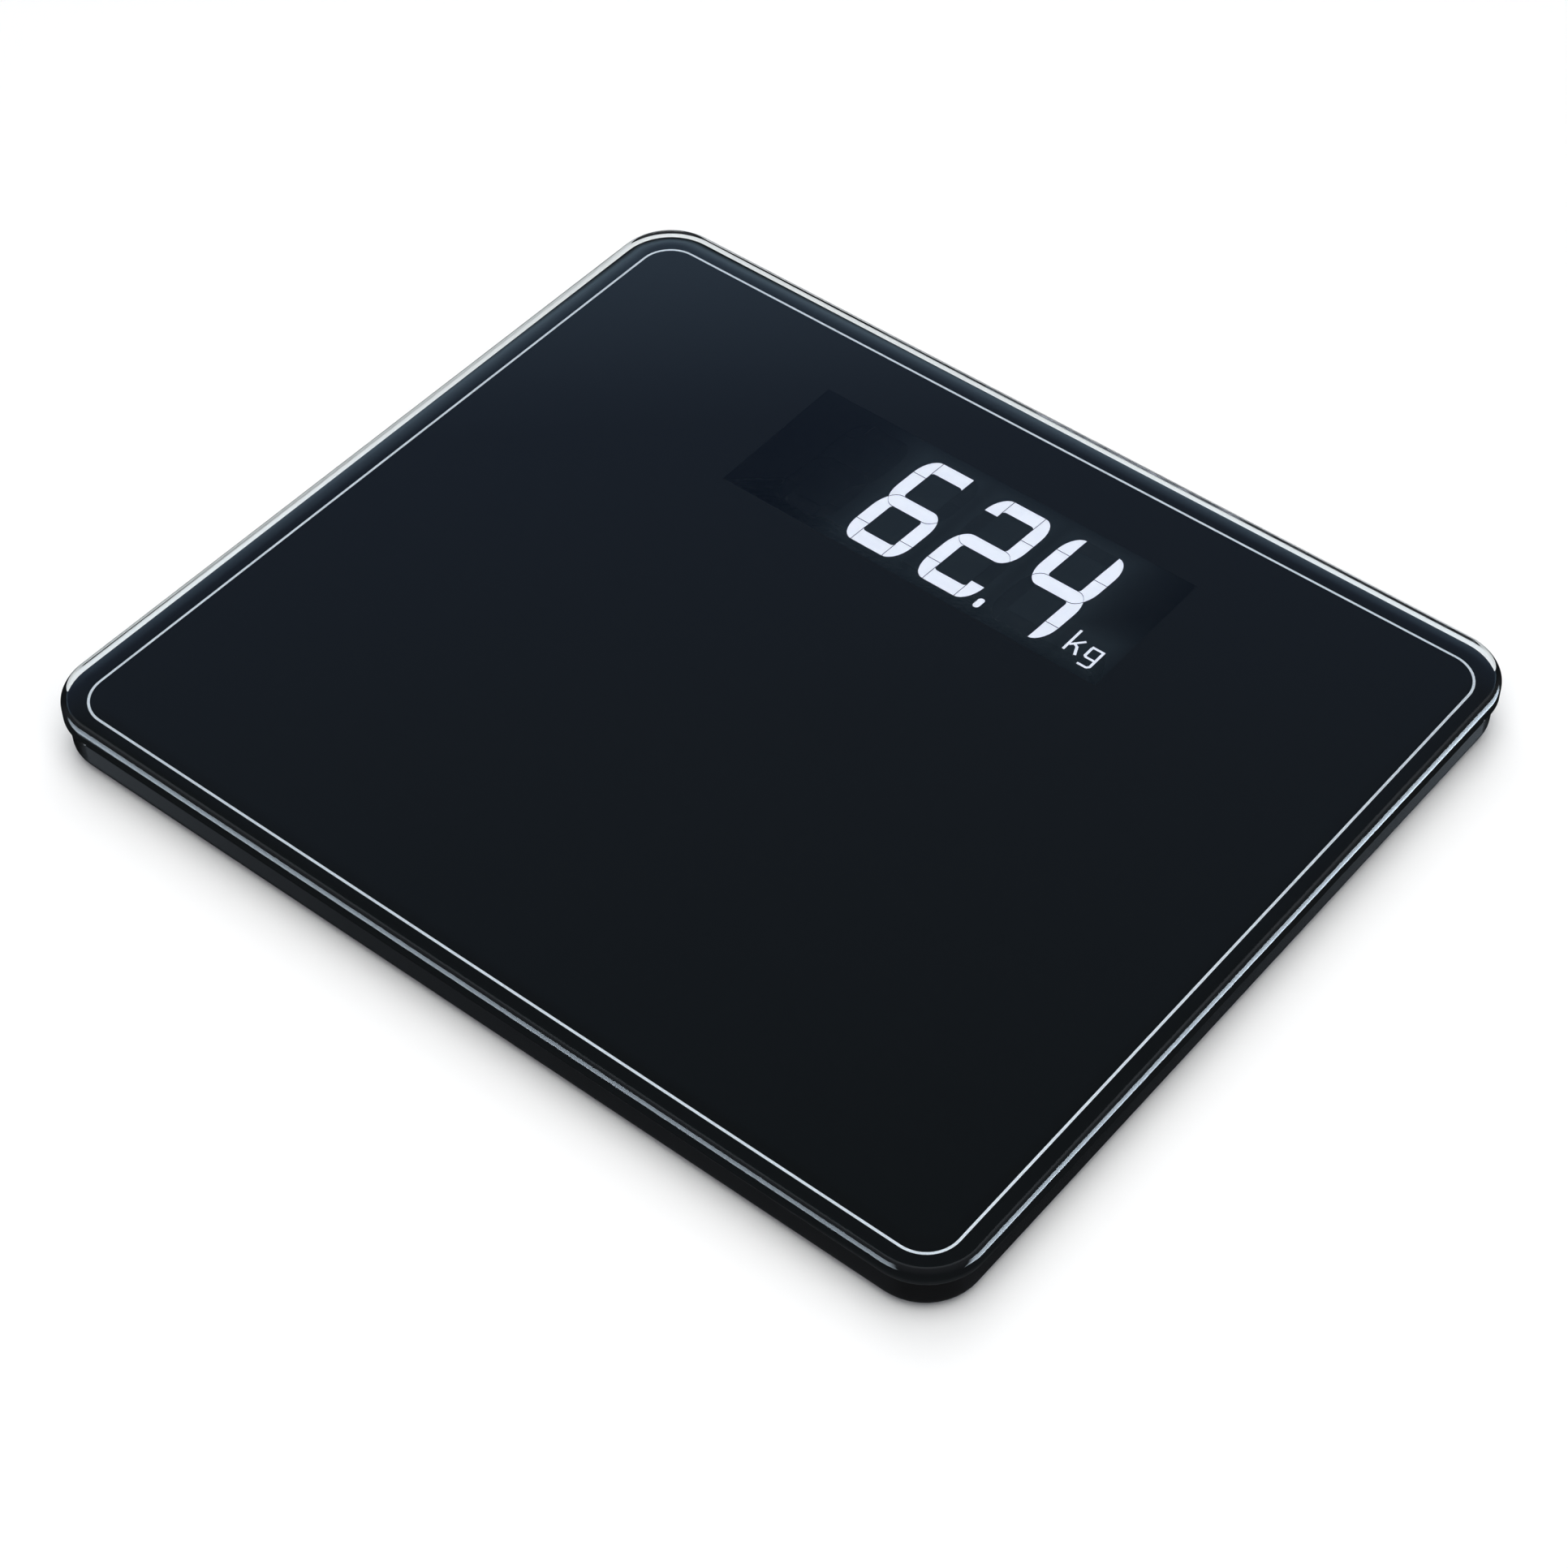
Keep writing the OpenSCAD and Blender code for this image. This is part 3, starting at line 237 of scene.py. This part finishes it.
def mask_film():
    """Black film with a faint painted blue-grey glow round the lit bars, standing in for the light that
    they throw round themselves.
    """
    s = Shader("mask_film")
    grains = s.noise(900.0, 2.0)
    s.set(Base_Color=s.blend(grains, (0.0008, 0.0011, 0.0012), (0.0013, 0.0017, 0.0018)))
    s.set(Roughness=0.8, Specular_IOR_Level=0.1)
    # painted glow: emission on the film near the lit bars, in place of their light spreading over it
    smoke_tint_and_painted_glow = s.math("MULTIPLY", glow_round_bars(s), 0.022)
    s.set(Emission_Color=GLOW_COLOUR, Emission_Strength=smoke_tint_and_painted_glow)
    return s.material


def lit_diffuser():
    """Milky diffuser lit from below, a touch uneven."""
    s = Shader("lit_diffuser")
    cloud = s.noise(160.0, 2.0)
    s.set(Base_Color=(0.85, 0.88, 0.95), Roughness=0.5)
    s.set(Emission_Color=s.blend(cloud, (0.80, 0.84, 1.0), (0.86, 0.89, 1.0)))
    s.set(Emission_Strength=s.between(cloud, 0.86, 0.96))
    return s.material


def dark_diffuser():
    """Bars that aren't lit: nearly black through the smoke, with a little painted glow from their lit
    neighbours.
    """
    s = Shader("dark_diffuser")
    cloud = s.noise(160.0, 2.0)
    s.set(Base_Color=s.blend(cloud, (0.0018, 0.0024, 0.0028), (0.0026, 0.0034, 0.0038)), Roughness=0.7)
    # painted glow: emission on the unlit bars, standing in for light from the lit bars nearby
    smoke_tint_and_painted_glow = s.math("MULTIPLY", glow_round_bars(s), 0.018)
    s.set(Specular_IOR_Level=0.1, Emission_Color=GLOW_COLOUR, Emission_Strength=smoke_tint_and_painted_glow)
    return s.material


def circuit_board(name):
    """Green solder mask with copper tracks showing through as slightly lighter lines."""
    s = Shader(name)
    grid = s.node("ShaderNodeTexBrick", {"Vector": s.place, "Scale": 160.0, "Mortar Size": 0.035})
    cloth = s.noise(700.0, 2.0)
    mask = s.blend(cloth, (0.010, 0.085, 0.032), (0.016, 0.115, 0.045))
    s.set(Base_Color=s.blend(grid.outputs["Fac"], mask, (0.05, 0.2, 0.07)))
    s.set(Roughness=s.between(cloth, 0.25, 0.4), Coat_Weight=0.3, Coat_Roughness=0.1)
    return s.bump(grid.outputs["Fac"], 0.3, 0.03 * MM).material


def battery_wrap(name):
    """Printed plastic wrap on a cell: a satin body with a plain band a little off its middle."""
    s = Shader(name)
    shift, repeat, start = 100 * MM, 21 * MM, 16.5 * MM
    x = s.node("ShaderNodeSeparateXYZ", {0: s.place}).outputs[0]
    band = s.math("GREATER_THAN", s.math("PINGPONG", s.math("ADD", x, shift), repeat), start)
    cloud = s.noise(220.0, 3.0)
    body = s.blend(cloud, (0.03, 0.10, 0.26), (0.045, 0.13, 0.32))
    s.set(Base_Color=s.blend(band, body, (0.45, 0.46, 0.47)), Roughness=s.between(cloud, 0.25, 0.4))
    return s.material


def ribbon_cable():
    """White flat cable with its conductors showing as fine lines."""
    half_pitch, half_line = 0.5 * MM, 0.18 * MM
    s = Shader("ribbon_cable")
    x = s.node("ShaderNodeSeparateXYZ", {0: s.place}).outputs[0]
    line = s.math("LESS_THAN", s.math("PINGPONG", x, half_pitch), half_line)
    cloud = s.noise(300.0, 2.0)
    tone_and_painted_glow = s.blend(cloud, (0.72, 0.71, 0.66), (0.8, 0.79, 0.74))
    s.set(Base_Color=s.blend(line, tone_and_painted_glow, (0.5, 0.48, 0.44)), Roughness=0.4)
    return s.bump(line, 0.2, 0.05 * MM).material


def foil_gauge():
    """Copper-coloured foil grid under a clear coat."""
    half_pitch, half_line = 0.3 * MM, 0.15 * MM
    s = Shader("foil_gauge")
    y = s.node("ShaderNodeSeparateXYZ", {0: s.place}).outputs[1]
    grid = s.math("LESS_THAN", s.math("PINGPONG", y, half_pitch), half_line)
    s.set(Base_Color=s.blend(grid, (0.75, 0.62, 0.38), (0.42, 0.22, 0.12)))
    s.set(Roughness=s.between(grid, 0.25, 0.4), Coat_Weight=0.5)
    return s.material


BLACK = (0.006, 0.0061, 0.0065)
MATERIALS = {
    "black_print": enamel_print(),
    "silver_print": silver_ink(),
    "smoked_print": smoked_window(),
    "foam_tape": rubber("foam_tape", (0.012, 0.012, 0.012)),
    "black_plastic": moulded_plastic("black_abs", BLACK, 0.22, depth=0.002 * MM, gloss=0.1),
    "battery_wrap": battery_wrap("cell_wrap"),
    "contact_metal": brushed_metal("plated_contact", (0.78, 0.77, 0.73), 0.25),
    "grey_plastic": moulded_plastic("grey_button", (0.32, 0.33, 0.35), 0.45),
    "switch_plastic": moulded_plastic("switch_body", (0.02, 0.02, 0.02), 0.5),
    "plunger_plastic": moulded_plastic("switch_plunger", (0.55, 0.28, 0.05), 0.4),
    "mask_film": mask_film(),
    "white_reflector": moulded_plastic("white_light_guide", (0.8, 0.8, 0.77), 0.45),
    "lit_bar": lit_diffuser(),
    "unlit_bar": dark_diffuser(),
    "circuit_board": circuit_board("green_board"),
    "chip_black": moulded_plastic("chip_epoxy", (0.015, 0.015, 0.015), 0.55),
    "component_tan": moulded_plastic("chip_ceramic", (0.38, 0.27, 0.15), 0.4),
    "led_yellow": moulded_plastic("diode_phosphor", (0.75, 0.66, 0.25), 0.35),
    "socket_ivory": moulded_plastic("socket_nylon", (0.75, 0.72, 0.62), 0.45),
    "screw_steel": brushed_metal("screw_steel", (0.55, 0.55, 0.56), 0.32),
    "ribbon_white": ribbon_cable(),
    "wire_red": moulded_plastic("wire_jacket", (0.42, 0.03, 0.02), 0.4),
    "foot_plastic": moulded_plastic("foot_nylon", (0.03, 0.03, 0.032), 0.4),
    "foot_rubber": rubber("pad_rubber", (0.035, 0.035, 0.036)),
    "cell_steel": brushed_metal("cell_steel", (0.5, 0.5, 0.51), 0.3),
    "seat_plastic": moulded_plastic("seat_nylon", (0.06, 0.06, 0.065), 0.5),
    "gauge_foil": foil_gauge(),
}

for part in frame["record"]["subparts"]:
    if part["material_slot"] in MATERIALS:
        for place in NODES[part["node"]].material_slots:
            place.material = MATERIALS[part["material_slot"]]


# ---- Glass platform ----

GLASS_CORNER = 20 * MM
UPPER_ARRIS = 3 * MM
CROWN_WIDTH = 8 * MM
CROWN_SLOPE = math.radians(6)
CROWN_DROP = CROWN_WIDTH * math.tan(CROWN_SLOPE) / 2
CROWN_STEPS = 16
LOWER_ARRIS = 0.5 * MM
# The glass's underside sinks this far into the print and the lit bars, so that no air shows between them
PRINT_CONTACT = 0.03 * MM
BAR_CONTACT = 0.01 * MM
BOSS_REACH = 1 * MM  # how far the part of the glass over the display runs past the window's edge
CORNER_STEPS = 40
ARRIS_STEPS = 14


def rounded_loop(low, high, inset, z):
    """Points round a rectangle with round corners, set in from the edge."""
    radius = GLASS_CORNER - inset
    points = []
    for corner in range(4):
        sx = 1 if corner in (0, 3) else -1
        sy = 1 if corner in (0, 1) else -1
        cx = (high.x if sx > 0 else low.x) - sx * GLASS_CORNER
        cy = (high.y if sy > 0 else low.y) - sy * GLASS_CORNER
        for i in range(CORNER_STEPS + 1):
            a = math.radians(90 * (corner + i / CORNER_STEPS))
            points.append((cx + radius * math.cos(a), cy + radius * math.sin(a), z))
    return points


def edge_section(low, high):
    """(inset, height) pairs up the edge: lower arris, flat edge, upper arris, crowned border."""
    section = []
    for i in range(ARRIS_STEPS + 1):
        a = math.radians(90 * i / ARRIS_STEPS)
        section.append((LOWER_ARRIS * (1 - math.sin(a)), low.z + LOWER_ARRIS * (1 - math.cos(a))))
    arris_z = high.z - CROWN_DROP - UPPER_ARRIS * math.cos(CROWN_SLOPE)
    for i in range(ARRIS_STEPS + 1):
        a = (math.pi / 2 - CROWN_SLOPE) * i / ARRIS_STEPS
        section.append((UPPER_ARRIS * (1 - math.cos(a)), arris_z + UPPER_ARRIS * math.sin(a)))
    crown_inset = section[-1][0]
    for i in range(1, CROWN_STEPS + 1):
        t = 1 - i / CROWN_STEPS
        section.append((crown_inset + CROWN_WIDTH * (1 - t), high.z - CROWN_DROP * t * t))
    section[0] = (section[0][0], low.z - PRINT_CONTACT)  # the underside, in the print
    return section


def glass_plate():
    """The plate as one closed skin, which reaches down to the lit bars over the display."""
    low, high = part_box("glass_platform")
    section = edge_section(low, high)
    loops = [rounded_loop(low, high, inset, z) for inset, z in section]
    count = len(loops[0])
    verts = [p for loop in loops for p in loop]
    faces = []
    for k in range(len(loops) - 1):
        for i in range(count):
            j = (i + 1) % count
            faces.append((k * count + i, k * count + j, (k + 1) * count + j, (k + 1) * count + i))
    smooth = [True] * len(faces)
    faces.append(tuple(range((len(loops) - 1) * count, len(loops) * count)))

    window_low, window_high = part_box("display_window")
    bars_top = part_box("units_digit")[1].z
    x0, y0 = window_low.x - BOSS_REACH, window_low.y - BOSS_REACH
    x1, y1 = window_high.x + BOSS_REACH, window_high.y + BOSS_REACH
    mouth = [(x0, y0), (x1, y0), (x1, y1), (x0, y1)]
    bottom_z = section[0][1]
    first = len(verts)
    verts += [(x, y, bottom_z) for x, y in mouth]
    verts += [(x, y, bars_top - BAR_CONTACT) for x, y in mouth]
    outer = [Vector(p) for p in loops[0]]
    hole = [Vector((x, y, bottom_z)) for x, y in mouth]
    index = list(range(count)) + [first + i for i in range(4)]
    for a, b, c in tessellate_polygon([outer, hole]):
        one, two, three = ((outer + hole)[n] for n in (a, b, c))
        upwards = (two - one).cross(three - one).z > 0
        faces.append((index[a], index[c], index[b]) if upwards else (index[a], index[b], index[c]))
    for i in range(4):
        j = (i + 1) % 4
        faces.append((first + j, first + i, first + 4 + i, first + 4 + j))
    faces.append((first + 7, first + 6, first + 5, first + 4))
    smooth += [False] * (len(faces) - len(smooth))

    mesh = bpy.data.meshes.new("glass_plate")
    mesh.from_pydata(verts, [], faces)
    mesh.materials.append(clear_glass())
    mesh.polygons.foreach_set("use_smooth", smooth)
    plate = bpy.data.objects.new("glass_plate", mesh)
    bpy.context.scene.collection.objects.link(plate)
    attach(plate, ROOT)
    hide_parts("glass_platform")


glass_plate()


# ---- Studio ----

CAMERA_PLACE = Vector((0.4848, -0.5966, 0.8261))
CAMERA_AIM = Vector((0.02767, -0.03357, 0.02267))
CAMERA_ROLL = math.radians(-0.22)
CAMERA_LENS = 82.85
SENSOR = 36.0

# The room's colour at each height above the horizon, in degrees: behind the scale, and all round it
SKY_BEHIND = [
    (-90, (0.01, 0.01, 0.01)),
    (33.5, (0.01, 0.01, 0.01)),
    (35.5, (0.78, 1.14, 1.5)),
    (38.5, (0.34, 0.52, 0.76)),
    (42, (0.090, 0.145, 0.260)),
    (47, (0.062, 0.092, 0.145)),
    (56, (0.012, 0.018, 0.020)),
    (90, (0.010, 0.012, 0.013)),
]
SKY_ROUND = [
    (-90, (0.16, 0.17, 0.18)),
    (-60, (0.16, 0.17, 0.18)),
    (-56, (0.01, 0.01, 0.01)),
    (-44, (0.01, 0.01, 0.01)),
    (0, (0.1, 0.1, 0.11)),
    (30, (0.14, 0.15, 0.16)),
    (41, (0.5, 0.53, 0.58)),
    (48, (0.5, 0.53, 0.58)),
    (54, (0.012, 0.018, 0.020)),
    (90, (0.010, 0.012, 0.013)),
]
SKY_GAIN = 1.5  # the sky's brightest colour
BEHIND = math.radians(133)  # the way that the top of the glass reflects, from +X round to +Y
BEHIND_FADE = (0.35, 0.65)  # the cosine off that way at which the sky behind starts, and is full
STRIPS = [  # long low lamps that the near edges reflect: their bearing and brightness
    (math.radians(240), 4.8),
    (math.radians(35), 7.4),
]
STRIP_COLOUR = (0.74, 0.87, 1.0)
STRIP_HALF_WIDTH = 24  # degrees
STRIP_LOW, STRIP_HIGH = -43, 3  # degrees
STRIP_FADE_UNDER, STRIP_FADE_IN, STRIP_FADE_OVER = 0.03, 0.01, 0.08  # in sines of the height
STRIP_FULL, STRIP_GONE = 0.8, 1.35  # of the half width, sideways

FLOOR_HALF = 6.0
FLOOR_COLOUR = (0.9, 0.895, 0.89)
GLOW_FROM, GLOW_TO, FLOOR_GLOW = 0.7, 2.5, 0.9  # far from the scale the floor fades up to a plain white


def room():
    """The world: a soft sky with a bright band behind the scale, and two low strips for the near edges."""
    world = bpy.data.worlds.new("studio")
    bpy.context.scene.world = world
    world.use_nodes = True
    tree = world.node_tree
    tree.nodes.clear()

    def node(kind, inputs, **settings):
        made = tree.nodes.new(kind)
        for key, value in settings.items():
            setattr(made, key, value)
        for key, value in inputs.items():
            if isinstance(value, bpy.types.NodeSocket):
                tree.links.new(value, made.inputs[key])
            else:
                made.inputs[key].default_value = value
        return made

    def step(value, start, end):
        """0 at start, 1 at end."""
        inputs = {"Value": value, "From Min": min(start, end), "From Max": max(start, end)}
        inputs |= {"To Min": float(start > end), "To Max": float(start < end)}
        return node("ShaderNodeMapRange", inputs, interpolation_type="SMOOTHSTEP").outputs[0]

    def times(a, b):
        return node("ShaderNodeMath", {0: a, 1: b}, operation="MULTIPLY").outputs[0]

    place = tree.nodes.new("ShaderNodeTexCoord").outputs["Generated"]
    up = node("ShaderNodeSeparateXYZ", {0: place}).outputs["Z"]
    level = node("ShaderNodeVectorMath", {0: place, 1: (1, 1, 0)}, operation="MULTIPLY").outputs[0]
    level = node("ShaderNodeVectorMath", {0: level}, operation="NORMALIZE").outputs[0]

    def towards(bearing):
        way = (math.cos(bearing), math.sin(bearing), 0)
        return node("ShaderNodeVectorMath", {0: level, 1: way}, operation="DOT_PRODUCT").outputs["Value"]

    def sky(colours):
        height = node("ShaderNodeMapRange", {"Value": up, "From Min": -1.0}).outputs[0]
        made = node("ShaderNodeValToRGB", {0: height})
        stops = made.color_ramp.elements
        while len(stops) < len(colours):
            stops.new(0.5)
        for stop, (degrees, colour) in zip(stops, colours):
            stop.position = (1 + math.sin(math.radians(degrees))) / 2
            stop.color = (*(c / SKY_GAIN for c in colour), 1)
        return made.outputs[0]

    def mixed(factor, a, b):
        return node("ShaderNodeMix", {"Factor": factor, 6: a, 7: b}, data_type="RGBA").outputs[2]

    behind = step(towards(BEHIND), *BEHIND_FADE)
    soft = mixed(behind, sky(SKY_ROUND), sky(SKY_BEHIND))
    low = math.sin(math.radians(STRIP_LOW))
    high = math.sin(math.radians(STRIP_HIGH))
    over_low = step(up, low - STRIP_FADE_UNDER, low + STRIP_FADE_IN)
    band = times(over_low, step(up, high + STRIP_FADE_OVER, high))
    total = node("ShaderNodeBackground", {"Color": soft, "Strength": SKY_GAIN}).outputs[0]
    edge = math.radians(STRIP_HALF_WIDTH)
    for bearing, power in STRIPS:
        outer, inner = math.cos(edge * STRIP_GONE), math.cos(edge * STRIP_FULL)
        wide = step(towards(bearing), outer, inner)
        strip = node("ShaderNodeBackground", {"Strength": times(times(band, wide), power)})
        strip.inputs["Color"].default_value = (*STRIP_COLOUR, 1)
        total = node("ShaderNodeAddShader", {0: total, 1: strip.outputs[0]}).outputs[0]
    node("ShaderNodeOutputWorld", {"Surface": total})


def softbox(name, place, width, power, colour):
    """A square lamp aimed at the scale, left out of reflections."""
    data = bpy.data.lights.new(name, "AREA")
    data.shape, data.size = "SQUARE", width
    data.energy, data.color = power, colour
    lamp = bpy.data.objects.new(name, data)
    lamp.location = place
    lamp.visible_glossy = False
    lamp.rotation_mode = "QUATERNION"
    lamp.rotation_quaternion = (-Vector(place)).to_track_quat("-Z", "Y")
    bpy.context.scene.collection.objects.link(lamp)


def studio():
    camera = bpy.data.objects.new("camera", bpy.data.cameras.new("camera"))
    bpy.context.scene.collection.objects.link(camera)
    camera.data.lens, camera.data.sensor_width = CAMERA_LENS, SENSOR
    camera.location = CAMERA_PLACE
    camera.rotation_mode = "QUATERNION"
    aim = (CAMERA_AIM - CAMERA_PLACE).to_track_quat("-Z", "Y")
    camera.rotation_quaternion = aim @ Quaternion((0, 0, 1), CAMERA_ROLL)
    camera.data.clip_start, camera.data.clip_end = 0.01, 50.0
    bpy.context.scene.camera = camera

    mesh = bpy.data.meshes.new("floor")
    corners = [(x * FLOOR_HALF, y * FLOOR_HALF, 0) for x, y in ((-1, -1), (1, -1), (1, 1), (-1, 1))]
    mesh.from_pydata(corners, [], [(0, 1, 2, 3)])
    s = Shader("floor_white")
    far = s.node("ShaderNodeVectorMath", {0: s.place}, operation="LENGTH").outputs["Value"]
    inputs = {"Value": far, "From Min": GLOW_FROM, "From Max": GLOW_TO, "To Max": FLOOR_GLOW}
    glow = s.node("ShaderNodeMapRange", inputs).outputs[0]
    s.set(Base_Color=FLOOR_COLOUR, Roughness=0.8, Specular_IOR_Level=0.2)
    s.set(Emission_Color=(1.0, 1.0, 1.0), Emission_Strength=glow)
    mesh.materials.append(s.material)
    floor = bpy.data.objects.new("floor", mesh)
    bpy.context.scene.collection.objects.link(floor)
    floor.visible_glossy = False

    room()
    softbox("key", (0.5, -0.5, 2.4), 2.2, 58.0, (1.0, 0.995, 0.985))
    softbox("fill", (-0.8, 0.9, 2.2), 1.8, 25.0, (1.0, 1.0, 1.0))


studio()

view_settings = bpy.context.scene.view_settings
view_settings.view_transform = "Standard"
view_settings.look = "None"
